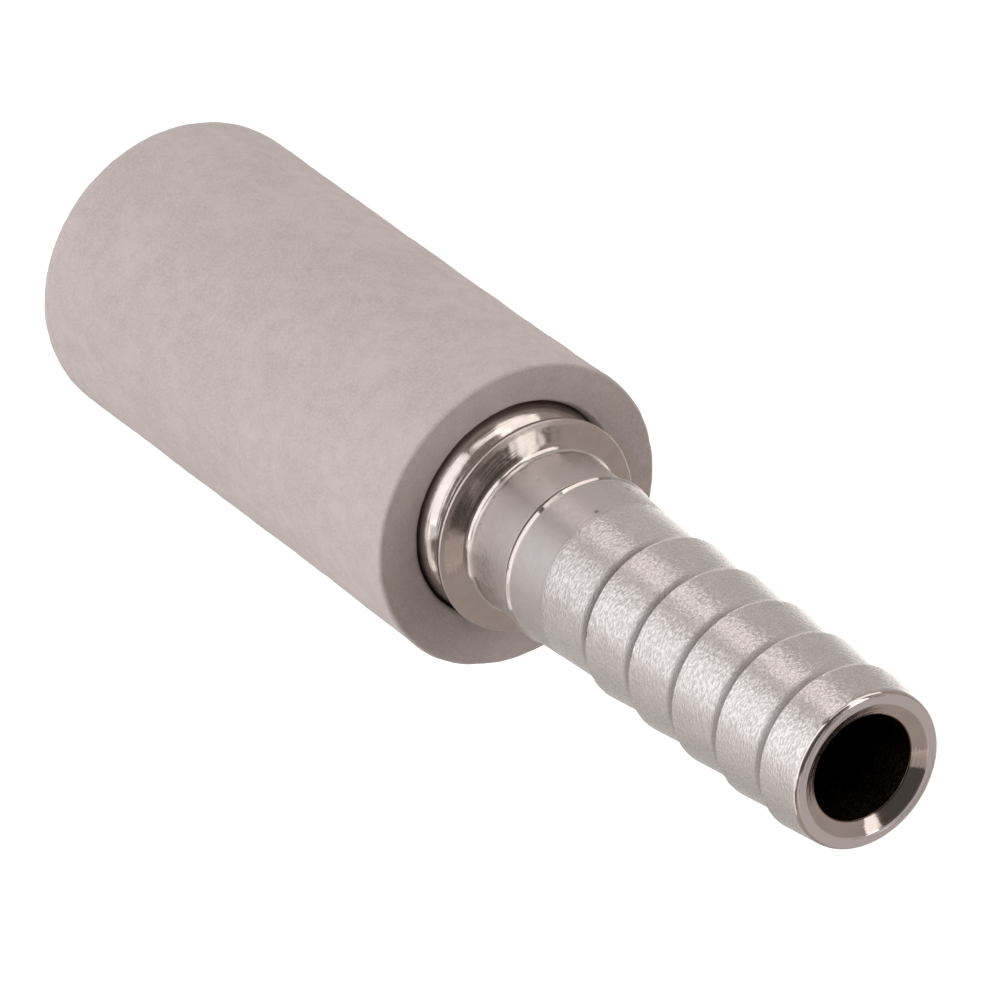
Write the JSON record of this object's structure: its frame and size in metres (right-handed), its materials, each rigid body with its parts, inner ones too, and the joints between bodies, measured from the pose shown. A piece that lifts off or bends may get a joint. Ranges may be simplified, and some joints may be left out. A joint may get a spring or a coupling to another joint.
{
  "type": "carbonation stone",
  "caption": "Porous sintered metal cup with a turned hose-barb fitting pressed into its mouth, for bubbling gas into a liquid.",
  "frame": {"origin": "middle of the closed end's flat, on which the stone stands", "axes": "+Z along the common axis, from the closed end to the tip of the barb"},
  "size_m": [0.0128, 0.0128, 0.0488],
  "materials": {
    "sintered_steel": "matte",
    "turned_steel": "satin"
  },
  "bodies": {
    "root": {"sintered_stone": "sintered_steel", "barb_fitting": "turned_steel"}
  },
  "joints": []
}
